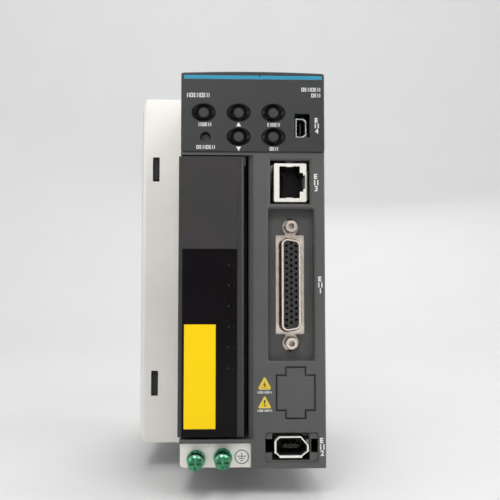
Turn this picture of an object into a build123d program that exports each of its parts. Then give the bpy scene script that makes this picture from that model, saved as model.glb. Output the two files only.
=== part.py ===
from build123d import *
import math
import os

# A wall-mounted servo drive. Millimetres. X is to the right as seen from the front, Y is to the rear
# and Z is up. The origin is on the rear mounting face, at the middle of the plastic body.
# Heights named "h" are measured from the body's bottom edge; level() turns them into Z.

# ---------------------------------------------------------------- driving dimensions
BODY_W = 58.2
BODY_H = 158.7
DEPTH = 150.0
WALL = 1.8

LEFT = -BODY_W / 2
RIGHT = BODY_W / 2
FRONT = -DEPTH
SKIN_BACK = FRONT + 2.0        # rear of the front housing's front skin
JOIN = -103.5                  # where the front and rear housings meet

PLATE_T = 2.0
SINK_LEFT = -50.5              # outer left side of the shroud
MOUNT_X = (SINK_LEFT + RIGHT) / 2
MOUNT_SPACING = 170.0
MOUNT_HOLE_R = 2.75
TAB_W = 24.0
TAB_END = 6.0                  # metal beyond each mounting hole's centre

PANEL_LOW = 126.0
PANEL_FRONT = FRONT - 0.8
PANEL_BACK = FRONT + 1.0
PANEL_W = BODY_W - 0.1
PANEL_WINDOW_X = (-26.0, 26.0)
PANEL_WINDOW_H = (127.2, 156.0)
BUTTON_PLACES = {
    "button_mode": (-19.95, 142.0),
    "button_up": (-5.8, 142.0),
    "button_shift": (8.25, 142.0),
    "button_down": (-5.8, 132.15),
    "button_set": (8.3, 132.15),
}
DISH_RX = 4.85
DISH_RZ = 3.75
CAP_R = 2.1
COLLAR_R = 3.2                 # collar that keeps each cap behind its dish
LAMP = (-19.2, 131.95)
LAMP_R = 2.1
LAMP_LENS = -147.0             # rear of the collar that the lens sits in
STRIPE_X = (-27.9, 28.1)
STRIPE_H = (155.75, 157.35)
STRIPE_T = 0.5

COLUMN_LEFT = -1.65            # left side of the connector column
COLUMN_BEVEL = 2.0
BAY_LOW = 11.3
BAY_HIGH = 124.8
BAY_FLOOR = -122.0

COVER_X = (-29.9, -3.6)
COVER_H = (12.3, 124.2)
COVER_T = 1.8
BARREL_R = 2.0
HINGE_X = COVER_X[0] + BARREL_R
HINGE_Y = FRONT + BARREL_R
PIN_R = 0.8
PIN_FIT = 0.05                 # play between a pin and its bore, on the radius
SHEET_X = (-28.3, -6.3)
SHEET_H = (COVER_H[0], 86.8)
SHEET_T = 0.3
LABEL_X = (-27.4, -14.85)
LABEL_H = (15.5, 56.6)
STICKER_T = 0.15

POST_PITCH = 47.04             # jack posts of a 44-way high-density D-sub
POST_MID = (15.55, 72.45)
FLANGE_FRONT = FRONT + 6.0
POST_SHANK_R = 1.5
POST_BORE_R = 1.2
RECESS_MID = (15.4, 72.55)
RECESS_SIZE = (18.5, 60.9)
D_X = (11.6, 19.2)
D_H = (53.6, 91.3)
D_WALL = 0.7
CONTACT_R = 0.58
CONTACT_PITCH = 2.28

RJ_X = (8.6, 21.75)
RJ_H = (105.95, 121.65)
RJ_HOLE_X = (6.95, 23.05)
RJ_HOLE_H = (105.1, 122.9)
RJ_BACK = -131.0
USB_X = (17.35, 21.65)
USB_H = (132.1, 139.8)
USB_BACK = -135.0
ENC_X = (8.95, 21.8)
ENC_H = (4.6, 12.15)
ENC_WALL = 0.3
ENC_LIPS = [                   # turned-out lips of the encoder shell: x range, h range
    ((8.55, 9.3), (5.7, 10.6)),
    ((10.5, 19.5), (4.0, 4.9)),
    ((10.5, 19.2), (11.8, 12.35)),
    ((21.45, 22.1), (6.4, 9.1)),
]
ENC_BACK = -134.0
TONGUE_X = (12.1, 18.6)
TONGUE_H = (7.1, 8.3)
TONGUE_FRONT = -145.4
PLUG_MID = (17.05, 29.4)
PLUG_GAP = 0.35
PLUG_BEVEL = 0.4
RIM = 0.7                      # bevel round the recess and the network socket's hole

FAN_MID = (0.0, -60.0)
FAN_SIZE = 40.0
FAN_T = 15.0
FAN_TOP = BODY_H - WALL
FAN_BOTTOM = FAN_TOP - FAN_T
FAN_SCREW_PITCH = 32.0
FAN_SHAFT_R = 1.0
FAN_BLADES = 7

CONTROL_X = (23.4, 25.0)
CONTROL_Y = (-136.0, -30.0)
POWER_X = (-19.0, -17.4)
STANDOFF_PLACES = [(y, h) for h in (30.0, 140.0) for y in (-110.0, -40.0)]

SCREW_R = 1.5                  # M3
HEAD_R = 3.1
HOUSING_SCREWS = [(24.0, 6.5), (24.0, BODY_H - 6.5)]
SINK_SCREWS = [(-27.7, 12.0), (-27.7, BODY_H - 12.0)]
SHROUD_SCREWS = [(-41.5, 30.0), (-41.5, 128.0)]
HOOK_HEIGHTS = (27.5, 126.9)
SINK_BASE = (-30.2, -25.2)
FIN_TIP = -47.8
FIN_COUNT = 13
FIN_PITCH = 7.1
FIRST_FIN = -97.5

VENT_LOWS = (22.0, 46.0, 98.0, 122.0)
VENT_H = 18.0
VENT_W = 2.6
VENT_PITCH = 5.4

TERMINAL_X = (-23.3, -6.7)
TERMINAL_Y = (-144.0, -112.0)
TERMINAL_SPANS = {
    "supply": (82.0, 120.0),
    "brake": (56.0, 78.0),
    "motor": (17.0, 52.0),
}
TERMINAL_WAYS = {"supply": 5, "brake": 3, "motor": 4}
ENTRY_MID = -18.2
DRIVER_MID = -10.8
ENTRY_FLOOR = -126.0

GROUND_FRONT = FRONT + 1.5
GROUND_T = 2.0
GROUND_PLACES = [(-22.4, 3.8), (-11.9, 4.9)]
GROUND_HEADS = [-158.2, -161.4]        # front of each screw's head
GROUND_WASHERS = [-150.7, -152.8]      # front of each plain washer
GROUND_SHANK_R = 2.0
GROUND_HEAD_R = 3.0
DOME_R = 5.0                   # sphere that rounds the heads


# ---------------------------------------------------------------- small helpers
def level(h):
    """Z of a height above the body's bottom edge."""
    return h - BODY_H / 2


def block(x, y, h):
    """Box between pairs of X, Y and height."""
    middle = Pos(sum(x) / 2, sum(y) / 2, level(sum(h) / 2))
    return middle * Box(x[1] - x[0], y[1] - y[0], h[1] - h[0])


def rod_x(y, h, r, x):
    """Cylinder along X."""
    return Pos(sum(x) / 2, y, level(h)) * Rot(0, 90, 0) * Cylinder(r, x[1] - x[0])


def rod_y(x, h, r, y):
    """Cylinder along Y."""
    return Pos(x, sum(y) / 2, level(h)) * Rot(90, 0, 0) * Cylinder(r, y[1] - y[0])


def rod_z(x, y, r, h):
    """Cylinder along Z."""
    return Pos(x, y, level(sum(h) / 2)) * Cylinder(r, h[1] - h[0])


def at(x, h):
    """Place of a sketch drawn in the front view."""
    return Pos(x, level(h))


def prism_y(sketch, y):
    """Front-view sketch extruded from y[1] forward to y[0]."""
    return extrude(Plane.XZ.offset(-y[1]) * sketch, amount=y[1] - y[0])


def outline(points):
    """Closed polygon in the front view, from X and height pairs."""
    return make_face(Polyline([(x, level(h)) for x, h in points], close=True))


def plan(points):
    """Closed polygon seen from above, from X and Y pairs."""
    return make_face(Polyline(points, close=True))


def prism_z(sketch, h):
    """Sketch drawn from above, extruded between two heights."""
    return extrude(Pos(0, 0, level(h[0])) * sketch, amount=h[1] - h[0])


def group(solids):
    """Separate solids kept in one node."""
    found = []
    for shape in solids:
        found.extend(shape.solids())
    return Compound(found)


def funnel_y(front_sketch, back_sketch, y):
    """Loft from one front-view sketch at y[0] to another at y[1]."""
    return loft([Plane.XZ.offset(-y[1]) * back_sketch, Plane.XZ.offset(-y[0]) * front_sketch])


def box_outline(x, h, grow=0.0):
    """Rectangle between pairs of X and height, grown on every side."""
    size = Rectangle(x[1] - x[0] + 2 * grow, h[1] - h[0] + 2 * grow)
    return at(sum(x) / 2, sum(h) / 2) * size


def plus_outline(grow):
    """Plus-shaped outline of the blanking plug."""
    across, arm = 15.0 / 2 + grow, 13.5 / 2 + grow
    upright, reach = 7.5 / 2 + grow, 19.85 / 2 + grow
    x, h = PLUG_MID
    quarter = [(upright, reach), (upright, arm), (across, arm)]
    corners = [(x + a, h + b) for a, b in quarter]
    corners += [(x + a, h - b) for a, b in reversed(quarter)]
    corners += [(x - a, h - b) for a, b in quarter]
    corners += [(x - a, h + b) for a, b in reversed(quarter)]
    return outline(corners)


def cross_cut(x, h, width, length, y):
    """Cross recess of a screw whose axis is along Y."""
    half, thin = length / 2, width / 2
    upright = block((x - thin, x + thin), y, (h - half, h + half))
    return [upright, block((x - half, x + half), y, (h - thin, h + thin))]


# ---------------------------------------------------------------- sheet metal and heat sink
def countersink(x, h):
    """Flared head of a screw whose face is flush with the plate's rear."""
    return Pos(x, -0.8, level(h)) * Rot(90, 0, 0) * Cone(HEAD_R, SCREW_R, 1.6)


def mount_plate():
    plate = block((SINK_LEFT, RIGHT), (-PLATE_T, 0), (0, BODY_H))
    reach = MOUNT_SPACING / 2 + TAB_END
    tab = Rectangle(TAB_W, 2 * reach)
    tab = fillet(tab.vertices(), 4.0)
    plate += prism_y(Pos(MOUNT_X, 0) * tab, (-PLATE_T, 0))
    for side in (-1, 1):
        middle = BODY_H / 2 + side * MOUNT_SPACING / 2
        plate -= rod_y(MOUNT_X, middle, MOUNT_HOLE_R, (-PLATE_T - 1, 1))
    for x, h in HOUSING_SCREWS + SINK_SCREWS:
        plate -= rod_y(x, h, SCREW_R, (-PLATE_T - 1, 1))
        plate -= countersink(x, h)
    return plate


def heat_sink():
    span = (2.0, BODY_H - 2.0)
    sink = block(SINK_BASE, (-102.0, -PLATE_T), span)
    root, tip = SINK_BASE[0], FIN_TIP
    for index in range(FIN_COUNT):
        y = FIRST_FIN + index * FIN_PITCH
        fin = plan([(root, y - 0.95), (tip, y - 0.6), (tip, y + 0.6), (root, y + 0.95)])
        sink += prism_z(fin, span)
    for x, h in SINK_SCREWS:
        sink -= rod_y(x, h, SCREW_R, (-12, 0))
    return sink


def heat_sink_shroud():
    outer = block((SINK_LEFT, 0), (JOIN, -PLATE_T), (0.6, 160.2))
    outer = fillet(outer.edges().filter_by(Axis.Z).group_by(Axis.X)[0], 2.5)
    inner = block((SINK_LEFT + 1.5, 1), (JOIN + 1.5, -PLATE_T - 1.5), (0, 161))
    inner = fillet(inner.edges().filter_by(Axis.Z).group_by(Axis.X)[0], 1.0)
    shroud = outer - inner
    shroud -= block((LEFT, 1), (JOIN - 1, JOIN + 2), (0, 161))
    shroud -= block((-37.0, 1), (JOIN + 2, 0), (0, 161))
    for low, high in ((-1.0, 7.1), (153.7, 162.0)):
        shroud -= block((SINK_LEFT - 1, -36.0), (JOIN + 5, 0), (low, high))
    for edge, inward in ((0.6, 7.1), (160.2, 153.7)):
        outer_point = (SINK_LEFT - 1, edge + (edge - inward) * 0.52)
        wedge = outline([outer_point, (SINK_LEFT + 1.9, edge), (SINK_LEFT, inward)])
        shroud -= prism_y(wedge, (JOIN - 1, JOIN + 6))
    for h in HOOK_HEIGHTS:
        slot = at(-43.7, h) * RectangleRounded(3.1, 11.5, 0.5)
        shroud -= prism_y(slot, (JOIN - 1, JOIN + 2))
    for x, h in SHROUD_SCREWS:
        shroud -= rod_y(x, h, SCREW_R, (-6, 0))
    return shroud


def shroud_hooks():
    hooks = []
    for h in HOOK_HEIGHTS:
        foot = block((-46.7, -40.7), (-102.0, -99.6), (h - 9, h + 9))
        tongue = block((-44.6, -42.6), (-103.1, -101.9), (h - 4.6, h + 3.4))
        hooks.append(foot + tongue)
    return group(hooks)


def shroud_screws():
    """Pan-head screws that hold the shroud's rear flange against the mounting plate."""
    screws = []
    for x, h in SHROUD_SCREWS:
        shank = rod_y(x, h, SCREW_R, (-3.5, -PLATE_T))
        head = rod_y(x, h, 2.8, (-5.3, -3.5))
        screws.append(shank + head - cross_cut(x, h, 0.7, 3.4, (-6.0, -4.4)))
    return group(screws)


def case_screws():
    """Countersunk screws from the rear into the rear housing and the heat sink."""
    screws = []
    for x, h in HOUSING_SCREWS + SINK_SCREWS:
        screw = rod_y(x, h, SCREW_R, (-9.0, -1.6)) + countersink(x, h)
        screws.append(screw - cross_cut(x, h, 0.7, 3.4, (-0.9, 1.0)))
    return group(screws)


# ---------------------------------------------------------------- plastic housings
def rear_housing():
    back = -PLATE_T
    shell = block((LEFT, RIGHT), (JOIN, back), (BODY_H - WALL, BODY_H))
    shell += block((LEFT, RIGHT), (JOIN, back), (0, WALL))
    shell += block((RIGHT - WALL, RIGHT), (JOIN, back), (0, BODY_H))
    for x, h in HOUSING_SCREWS:
        shell += rod_y(x, h, 3.2, (-16.0, back))
        shell += block((x, RIGHT), (-16.0, back), (h - 1, h + 1))
    for x, h in HOUSING_SCREWS:
        shell -= rod_y(x, h, SCREW_R, (-12.0, 0))
    return shell - side_vents(-92.0, 10) - fan_grille() - end_vents()


def side_vents(first, count):
    """Upright slots in the right wall, in four bands."""
    cuts = []
    for low in VENT_LOWS:
        for index in range(count):
            y = first + index * VENT_PITCH
            slot = (y - VENT_W / 2, y + VENT_W / 2)
            cuts.append(block((RIGHT - 3, RIGHT + 1), slot, (low, low + VENT_H)))
    return cuts


def fan_grille():
    """Parallel slots in the top whose ends follow the fan's circle."""
    cuts = []
    reach = FAN_SIZE / 2 - 1.5
    pitch, width = 4.2, 2.8
    for index in range(-4, 5):
        offset = index * pitch
        half = math.sqrt(reach ** 2 - offset ** 2)
        slot = (FAN_MID[0] + offset - width / 2, FAN_MID[0] + offset + width / 2)
        cuts.append(block(slot, (FAN_MID[1] - half, FAN_MID[1] + half), (FAN_TOP - 1, BODY_H + 1)))
    return cuts


def end_vents():
    """Slots in the bottom, and a shorter row at the rear of the top."""
    cuts = []
    for index in range(9):
        x = -20.0 + index * 5.0
        slot = (x - VENT_W / 2, x + VENT_W / 2)
        for y in ((-96.0, -62.0), (-54.0, -20.0)):
            cuts.append(block(slot, y, (-1, WALL + 1)))
        cuts.append(block(slot, (-30.0, -12.0), (FAN_TOP - 1, BODY_H + 1)))
    return cuts


def front_housing():
    body = block((LEFT, RIGHT), (FRONT, JOIN), (0, BODY_H))
    right_edges = body.edges().filter_by(Axis.Z).group_by(Axis.Y)[0].group_by(Axis.X)[-1]
    body = fillet(right_edges, 0.8)
    body -= block((LEFT + WALL, RIGHT - WALL), (SKIN_BACK, JOIN + 1), (WALL, BODY_H - WALL))
    # seat for the control panel, and the window behind it
    body -= block((LEFT - 1, RIGHT + 1), (FRONT - 1, PANEL_BACK), (PANEL_LOW, BODY_H + 1))
    body -= block(PANEL_WINDOW_X, (FRONT - 1, SKIN_BACK + 1), PANEL_WINDOW_H)
    body = power_bay(body)
    # ledges that carry the panel board
    for x, h in (((LEFT + WALL, -24.6), (130.0, 134.0)), ((LEFT + WALL, -24.6), (150.0, 154.0)),
                 ((20.5, RIGHT - WALL), (148.4, 152.0))):
        body += block(x, (-144.5, -141.5), h)
    # ground plate recess
    body -= block((LEFT - 1, COLUMN_LEFT + 1.0), (FRONT - 1, GROUND_FRONT + GROUND_T), (-1, 9.8))
    body = signal_recess(body)
    body = socket_holes(body)
    return body - side_vents(-133.0, 5)


def power_bay(body):
    """Opens the front left of the cover: cut-back wall, hinge shelves, partition and floor."""
    inner = COLUMN_LEFT + WALL
    rear = BAY_FLOOR + WALL
    shelf_low = BAY_LOW - 1.5
    shelf_high = BAY_HIGH + 2.0
    body -= block((LEFT + WALL, COLUMN_LEFT), (FRONT - 1, SKIN_BACK + 1), (BAY_LOW, BAY_HIGH))
    body -= block((LEFT - 1, LEFT + WALL + 0.1), (FRONT - 1, -144.8), (BAY_LOW, BAY_HIGH))
    body += block((LEFT, inner), (FRONT + 1.5, rear), (BAY_HIGH, shelf_high))
    body += block((LEFT, inner), (FRONT + 0.2, rear), (shelf_low, BAY_LOW))
    body += block((COLUMN_LEFT, inner), (SKIN_BACK, rear), (shelf_low, shelf_high))
    body += block((LEFT, inner), (BAY_FLOOR, rear), (shelf_low, shelf_high))
    for low, high in TERMINAL_SPANS.values():
        body -= block((TERMINAL_X[0] - 0.2, TERMINAL_X[1] + 0.2), (BAY_FLOOR - 1, rear + 1), (low, high))
    for h in (BAY_HIGH + 1.0, BAY_LOW - 0.7):
        body -= rod_z(HINGE_X, HINGE_Y, PIN_R + PIN_FIT, (h - 1.3, h + 1.3))
    # bevel along the column's left edge
    bevel = plan([
        (COLUMN_LEFT - 0.1, FRONT - 0.1),
        (COLUMN_LEFT + COLUMN_BEVEL, FRONT - 0.1),
        (COLUMN_LEFT + COLUMN_BEVEL, FRONT),
        (COLUMN_LEFT, FRONT + COLUMN_BEVEL),
        (COLUMN_LEFT - 0.1, FRONT + COLUMN_BEVEL),
    ])
    return body - prism_z(bevel, (BAY_LOW, BAY_HIGH))


def signal_recess(body):
    """Tray round the signal socket, with a window for its flange and jack posts."""
    width, height = RECESS_SIZE
    body += block((4.65, 26.15), (SKIN_BACK - 0.5, FLANGE_FRONT), (41.3, 104.5))
    recess = at(*RECESS_MID) * RectangleRounded(width, height, 0.9)
    rim = at(*RECESS_MID) * RectangleRounded(width + 2 * RIM, height + 2 * RIM, 0.9 + RIM)
    body -= prism_y(recess, (FRONT - 1, FLANGE_FRONT - 1.5))
    body -= funnel_y(rim, recess, (FRONT, FRONT + RIM))
    window = at(15.35, POST_MID[1] + 0.12) * Rectangle(11.8, 40.45)
    for side in (-1, 1):
        h = POST_MID[1] + side * POST_PITCH / 2
        window += at(POST_MID[0], h) * Circle(3.4)
        window += at(POST_MID[0], h - side * 2.4) * Rectangle(4.5, 4.8)
    return body - prism_y(window, (FRONT - 1, FLANGE_FRONT + 0.5))


def socket_holes(body):
    """Holes for the network and encoder sockets and for the blanking plug."""
    through = (FRONT - 1, SKIN_BACK + 1)
    body -= block(RJ_HOLE_X, through, RJ_HOLE_H)
    body -= funnel_y(box_outline(RJ_HOLE_X, RJ_HOLE_H, RIM), box_outline(RJ_HOLE_X, RJ_HOLE_H),
                     (FRONT, FRONT + RIM))
    body -= prism_y(plus_outline(PLUG_GAP), through)
    body -= funnel_y(plus_outline(PLUG_GAP + PLUG_BEVEL), plus_outline(PLUG_GAP), (FRONT, FRONT + PLUG_BEVEL))
    body -= prism_y(at(15.4, 8.1) * RectangleRounded(21.3, 12.0, 1.4), (FRONT - 1, FRONT + 0.8))
    body -= block((7.65, 22.6), through, (3.0, 13.6))
    for x in ((4.95, 7.65), (23.05, 25.85)):
        body -= block(x, through, (5.9, 11.3))
    return body


# ---------------------------------------------------------------- control panel
def control_panel():
    half, low, shoulder = PANEL_W / 2, level(PANEL_LOW), level(BODY_H - 0.3)
    sides = Polyline((-half, shoulder), (-half, low), (half, low), (half, shoulder))
    top = ThreePointArc((half, shoulder), (0, level(BODY_H + 0.3)), (-half, shoulder))
    face = make_face(sides + top)
    face = fillet(face.vertices(), 1.2)
    panel = prism_y(face, (PANEL_FRONT, PANEL_BACK))
    rim = panel.faces().sort_by(Axis.Y)[0].edges()
    panel = chamfer(rim, 0.4)
    for x, h in BUTTON_PLACES.values():
        panel -= prism_y(at(x, h) * Ellipse(DISH_RX, DISH_RZ), (PANEL_FRONT - 1, PANEL_BACK + 1))
    panel += rod_y(*LAMP, LAMP_R + 0.8, (PANEL_BACK, LAMP_LENS))
    panel -= rod_y(*LAMP, LAMP_R, (PANEL_FRONT - 1, LAMP_LENS + 1))
    panel -= block((16.85, 23.05), (PANEL_FRONT - 1, PANEL_BACK + 1), (132.0, 141.8))
    panel -= block(STRIPE_X, (PANEL_FRONT - 1, PANEL_FRONT + STRIPE_T), STRIPE_H)
    panel -= block((-15.0, 15.0), (PANEL_BACK - 0.9, PANEL_BACK + 1), (146.6, 155.2))
    return panel


def trim_stripe():
    stripe = block(STRIPE_X, (PANEL_FRONT, PANEL_FRONT + STRIPE_T), STRIPE_H)
    high = STRIPE_H[1]
    return stripe - block((2.55, 3.05), (PANEL_FRONT - 1, PANEL_FRONT + 0.3), (high - 0.9, high + 0.1))


def dish_hollow(x, h):
    """Funnel that widens from the cap's hole to the dish's rim."""
    rim = at(x, h) * Ellipse(DISH_RX - 0.4, DISH_RZ - 0.35)
    deep = at(x, h) * Ellipse(3.1, 2.7)
    return funnel_y(rim, deep, (PANEL_FRONT - 0.11, PANEL_FRONT + 0.8))


def button_dishes():
    dishes = []
    for x, h in BUTTON_PLACES.values():
        dish = prism_y(at(x, h) * Ellipse(DISH_RX, DISH_RZ), (PANEL_FRONT - 0.1, PANEL_BACK))
        dish += prism_y(at(x, h) * Ellipse(DISH_RX + 0.8, DISH_RZ + 0.8), (PANEL_BACK, PANEL_BACK + 0.8))
        dish -= dish_hollow(x, h)
        dish -= rod_y(x, h, CAP_R + 0.25, (PANEL_FRONT - 1, PANEL_BACK + 2))
        dishes.append(dish)
    return group(dishes)


def button_cap(x, h):
    """Round cap with a retaining collar behind its dish."""
    cap = rod_y(x, h, CAP_R, (PANEL_FRONT - 0.1, -146.6))
    cap = chamfer(cap.edges().sort_by(Axis.Y)[0], 0.4)
    return cap + rod_y(x, h, COLLAR_R, (-147.6, -146.6))


def charge_lamp():
    """Light pipe: a domed lens deep in the panel's collar, and its stem to the board."""
    lens = rod_y(*LAMP, LAMP_R, (LAMP_LENS - 1.4, LAMP_LENS))
    lens = fillet(lens.edges().sort_by(Axis.Y)[0], 0.8)
    return lens + rod_y(*LAMP, 1.2, (LAMP_LENS, -142.6))


def panel_board():
    board = block((-25.5, 22.5), (-141.5, -139.9), (128.5, 155.5))
    return board - block((16.5, 23.0), (-142, -139), (131.0, 141.0))


def tact_switches():
    switches = []
    for x, h in BUTTON_PLACES.values():
        base = block((x - 3, x + 3), (-144.6, -141.5), (h - 3, h + 3))
        switches.append(base + rod_y(x, h, 1.5, (-145.7, -144.6)))
    return group(switches)


def display_module():
    """Five-digit module; its digits sit in shallow pockets."""
    module = block((-14.5, 14.5), (-149.6, -141.5), (146.9, 154.9))
    middle, pitch, bar = 150.9, 5.8, 0.25
    for index in range(5):
        x = (index - 2) * pitch
        for lift in (-2.5, 0.0, 2.5):
            span = (middle + lift - bar, middle + lift + bar)
            module -= block((x - 1.2, x + 1.2), (-150, -149.4), span)
    return module


# ---------------------------------------------------------------- sockets
def usb_outline(shrink):
    x0, x1 = USB_X[0] + shrink, USB_X[1] - shrink
    h0, h1 = USB_H[0] + shrink, USB_H[1] - shrink
    return outline([(x0, h0), (x1 - 1.2, h0), (x1, h0 + 0.9), (x1, h1 - 0.9), (x1 - 1.2, h1), (x0, h1)])


def usb_shell():
    shell = prism_y(usb_outline(0), (-150.2, USB_BACK))
    shell += block((USB_X[1] - 0.1, CONTROL_X[0]), (USB_BACK - 3.5, USB_BACK), (133.5, 138.5))
    return shell - prism_y(usb_outline(0.35), (-151, USB_BACK - 0.6))


def usb_insert():
    """Lining of the shell with the contact tongue in one moulding."""
    lining = prism_y(usb_outline(0.35), (-149.5, USB_BACK - 0.6))
    lining -= prism_y(usb_outline(0.6), (-150, USB_BACK - 2.0))
    return lining + block((19.05, 19.75), (-148.2, USB_BACK - 2.0), (133.4, 138.5))


def rj_opening():
    """Plug opening with the two latch steps on its right and a small tab above and below."""
    left, right, step, latch = 10.75, 19.1, 20.45, 21.5
    low, high = 107.4, 120.5
    return outline([
        (left, low), (13.2, low), (13.6, low + 0.25), (16.1, low + 0.25), (16.5, low), (right, low),
        (right, 110.1), (step, 110.1), (step, 111.2), (latch, 111.2),
        (latch, 116.8), (step, 116.8), (step, 117.8), (right, 117.8),
        (right, high), (16.5, high), (16.1, high - 0.25), (13.6, high - 0.25), (13.2, high), (left, high),
    ])


def rj_inside():
    """Space inside the network socket's metal shell."""
    wall = 0.4
    x, h = (RJ_X[0] + wall, RJ_X[1] - wall), (RJ_H[0] + wall, RJ_H[1] - wall)
    return block(x, (-148.8, RJ_BACK - wall), h)


def rj45_shell():
    shell = block(RJ_X, (-149.2, RJ_BACK), RJ_H)
    shell = fillet(shell.edges().filter_by(Axis.Y), 0.6)
    shell += block((RJ_X[1], CONTROL_X[0]), (-140.0, -134.0), (108.0, 120.0))
    return shell - rj_inside() - prism_y(rj_opening(), (-150, -148.8))


def rj45_insert():
    return rj_inside() - prism_y(rj_opening(), (-150, -134.5))


def rj45_contacts():
    """Eight spring wires that slope into the plug opening from its left wall."""
    wires = []
    for index in range(8):
        h = 114.0 + (index - 3.5) * 1.02
        wire = plan([(10.75, -146.5), (11.15, -146.5), (13.5, -134.5), (13.1, -134.5)])
        wires.append(prism_z(wire, (h - 0.2, h + 0.2)))
    return group(wires)


def d_outline(shrink):
    """D shape standing on end, with its long side on the left and slanted ends."""
    x0, x1 = D_X[0] + shrink, D_X[1] - shrink
    h0, h1 = D_H[0] + shrink, D_H[1] - shrink
    slant = (x1 - x0) * math.tan(math.radians(10))
    shape = outline([(x0, h0), (x1, h0 + slant), (x1, h1 - slant), (x0, h1)])
    return fillet(shape.vertices(), 2.4 - shrink)


def signal_socket_shell():
    flange = at(*POST_MID) * RectangleRounded(12.5, 53.04, 1.0)
    shell = prism_y(flange, (FLANGE_FRONT, FLANGE_FRONT + 1.0))
    shell += prism_y(d_outline(0), (FRONT, FLANGE_FRONT + 1.0))
    shell -= prism_y(d_outline(D_WALL), (FRONT - 1, FLANGE_FRONT + 2.0))
    for side in (-1, 1):
        shell -= rod_y(POST_MID[0], POST_MID[1] + side * POST_PITCH / 2, POST_SHANK_R, (-146, -142))
    return shell


def contact_places():
    """Forty-four contact centres in three rows, the middle one half a pitch higher."""
    places = []
    for x, top, count in ((13.5, 88.05, 15), (15.4, 89.19, 15), (17.35, 88.05, 14)):
        for index in range(count):
            places.append((x, top - index * CONTACT_PITCH))
    return places


def signal_socket_insulator():
    body = prism_y(d_outline(D_WALL), (FRONT + 0.3, FLANGE_FRONT + 1.0))
    body += block((10.4, CONTROL_X[0]), (FLANGE_FRONT + 1.0, -134.5), (53.5, 91.5))
    holes = [rod_y(x, h, CONTACT_R, (FRONT - 1, -138.0)) for x, h in contact_places()]
    return body - holes


def signal_socket_contacts():
    """Sleeves seated deep in the insulator's holes."""
    return group([rod_y(x, h, CONTACT_R, (-143.5, -138.0)) for x, h in contact_places()])


def jack_posts():
    posts = []
    for side in (-1, 1):
        h = POST_MID[1] + side * POST_PITCH / 2
        hexagon = at(POST_MID[0], h) * RegularPolygon(2.4, 6, major_radius=False)
        turned = rod_y(POST_MID[0], h, 2.75, (FRONT, FLANGE_FRONT))
        turned = chamfer(turned.edges().sort_by(Axis.Y)[0], 0.7, 0.5)
        post = prism_y(hexagon, (FRONT, FLANGE_FRONT)) & turned
        post += rod_y(POST_MID[0], h, POST_SHANK_R, (FLANGE_FRONT, -139.0))
        posts.append(post - rod_y(POST_MID[0], h, POST_BORE_R, (FRONT - 1, FRONT + 5.0)))
    return group(posts)


def encoder_outline(shrink):
    """Six-way shell with small chamfers on the left and a pointed right end."""
    x0, x1 = ENC_X[0] + shrink, ENC_X[1] - shrink
    h0, h1 = ENC_H[0] + shrink, ENC_H[1] - shrink
    corner = 1.3
    return outline([
        (x0 + corner, h0), (x1 - 2.3, h0), (x1, h0 + 1.75), (x1, h1 - 3.0), (x1 - 2.55, h1),
        (x0 + corner, h1), (x0, h1 - corner), (x0, h0 + corner),
    ])


def encoder_shell():
    shell = prism_y(encoder_outline(0), (FRONT + 0.2, ENC_BACK))
    for x, h in ENC_LIPS:
        shell += block(x, (FRONT + 0.2, FRONT + 0.8), h)
    shell += block((ENC_X[1] - 0.2, CONTROL_X[0]), (ENC_BACK - 5.0, ENC_BACK), (6.9, 8.9))
    return shell - prism_y(encoder_outline(ENC_WALL), (FRONT - 1, ENC_BACK - 0.6))


def encoder_insert():
    """Lining of the shell with the contact tongue in one moulding."""
    lining = prism_y(encoder_outline(ENC_WALL), (FRONT + 0.9, ENC_BACK - 0.6))
    lining -= prism_y(encoder_outline(ENC_WALL + 0.3), (FRONT, -138.0))
    return lining + block(TONGUE_X, (TONGUE_FRONT, -138.0), TONGUE_H)


def encoder_contacts():
    """Six strips, three on each face of the tongue."""
    strips = []
    front = TONGUE_FRONT + 0.4
    low, high = TONGUE_H
    for index in range(3):
        x = sum(TONGUE_X) / 2 + (index - 1) * 2.0
        for h in ((low - 0.25, low), (high, high + 0.25)):
            strips.append(block((x - 0.4, x + 0.4), (front, -138.0), h))
    return group(strips)


def blanking_plug():
    plug = prism_y(plus_outline(0), (FRONT + 0.1, SKIN_BACK))
    plug = chamfer(plug.faces().sort_by(Axis.Y)[0].edges(), PLUG_BEVEL)
    return plug + prism_y(plus_outline(0.8), (SKIN_BACK, SKIN_BACK + 0.9))


def warning_triangles():
    signs = []
    for low in (23.5, 31.1):
        sign = outline([(1.85, low), (7.45, low), (4.65, low + 5.05)])
        signs.append(prism_y(fillet(sign.vertices(), 0.4), (FRONT - STICKER_T, FRONT)))
    return group(signs)


# ---------------------------------------------------------------- power terminal cover and bay
def power_cover():
    """Flat door with a barrel along its left edge, a grip rib and two snap hooks."""
    left, right = COVER_X
    corner = 0.9
    plate = Pos((left + right) / 2, FRONT + COVER_T / 2) * Rectangle(right - left, COVER_T)
    plate = fillet(plate.vertices().group_by(Axis.Y)[0].sort_by(Axis.X)[0], corner)
    plate += Pos(HINGE_X, HINGE_Y) * Circle(BARREL_R)
    door = prism_z(plate, COVER_H)
    door += block((right - 0.7, right + 0.65), (FRONT + 0.3, FRONT + COVER_T), (120.4, 123.9))
    rib = plan([(-6.15, FRONT), (-5.75, FRONT - 0.35), (-4.45, FRONT - 0.35), (-4.05, FRONT)])
    door += prism_z(rib, (COVER_H[0] + 0.8, COVER_H[1] - 0.8))
    for h in (40.0, 96.0):
        door += block((-5.4, -4.2), (FRONT + COVER_T, -143.5), (h - 4, h + 4))
        door += block((-4.2, -3.7), (-145.0, -143.5), (h - 4, h + 4))
    door -= block(SHEET_X, (FRONT - 1, FRONT + SHEET_T), SHEET_H)
    for h in COVER_H:
        door -= rod_z(HINGE_X, HINGE_Y, PIN_R, (h - 4.0, h + 4.0))
    return door


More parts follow.
